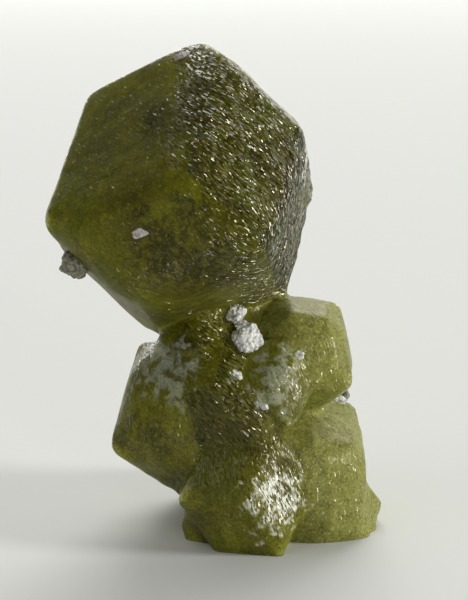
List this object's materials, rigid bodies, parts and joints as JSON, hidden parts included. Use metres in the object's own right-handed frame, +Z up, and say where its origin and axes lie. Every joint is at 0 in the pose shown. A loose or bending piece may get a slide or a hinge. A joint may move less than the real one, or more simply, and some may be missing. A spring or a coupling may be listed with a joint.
{
  "type": "demantoid garnet crystal cluster",
  "caption": "Olive-green demantoid garnet: a big twelve-faced crystal on a group of smaller intergrown ones, with pale mineral grains, standing on a flat cut base",
  "frame": {"origin": "centre of the bounding box's underside, on the flat cut base that the cluster stands on", "axes": "+Z up through the small crystals to the big one, +X to the right and +Y away from the viewer when looking at the front"},
  "size_m": [0.0098, 0.01, 0.0149],
  "materials": {
    "garnet": "olive-green translucent garnet, satin growth faces with fine striations, frosty rims and brown inclusions",
    "grey_grain": "matt grey granular mineral",
    "white_grain": "matt white granular mineral",
    "lilac_grain": "pale lilac-grey mineral crust"
  },
  "bodies": {
    "root": {"garnet_crystals": "garnet", "grain_grey_ball": "grey_grain", "grain_neck_large": "white_grain", "grain_neck_small": "white_grain", "grain_long": "white_grain", "grain_side": "white_grain", "grain_front_fleck": "lilac_grain", "grain_top_fleck": "lilac_grain", "grain_right_white": "white_grain", "grain_right_grey": "grey_grain", "grain_low": "white_grain", "grain_ledge": "white_grain"}
  },
  "joints": []
}
